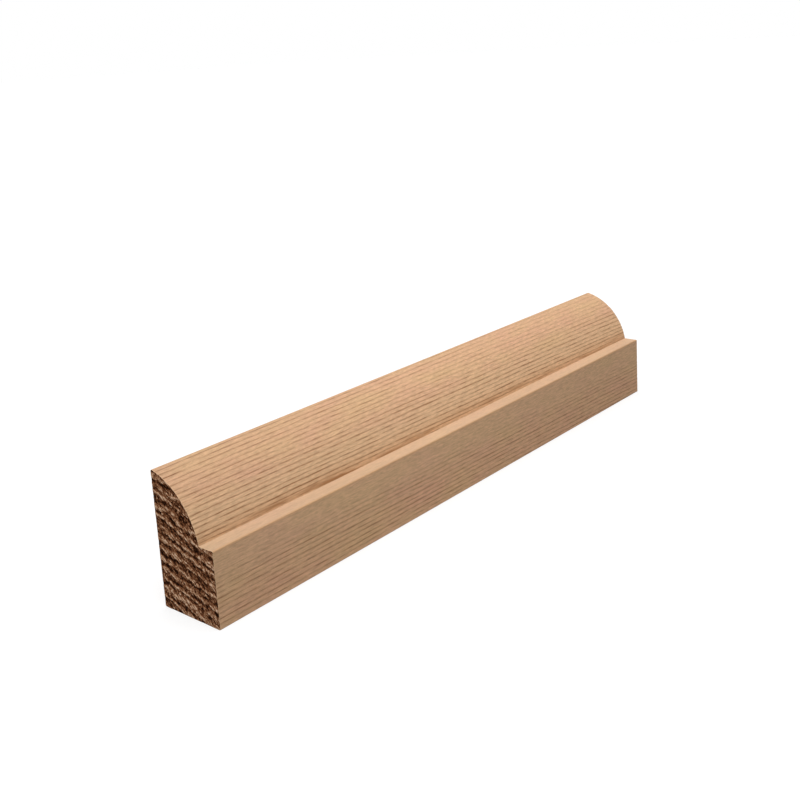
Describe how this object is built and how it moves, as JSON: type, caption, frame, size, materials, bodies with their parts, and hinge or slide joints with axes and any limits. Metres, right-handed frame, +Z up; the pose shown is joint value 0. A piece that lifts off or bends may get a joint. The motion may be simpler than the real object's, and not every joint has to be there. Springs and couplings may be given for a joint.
{
  "type": "ovolo architrave",
  "caption": "Short length of planed softwood ovolo architrave: a flat back, a rounded face above a square step, and square sawn ends.",
  "frame": {"origin": "on the floor, under the middle of the box round the moulding, which stands on its thick edge", "axes": "+X along the length, +Y out of the flat back, +Z up the width from the thick edge to the crest"},
  "size_m": [0.25, 0.025, 0.0439],
  "materials": {
    "softwood": "matte"
  },
  "bodies": {
    "root": {"ovolo_architrave": "softwood"}
  },
  "joints": []
}
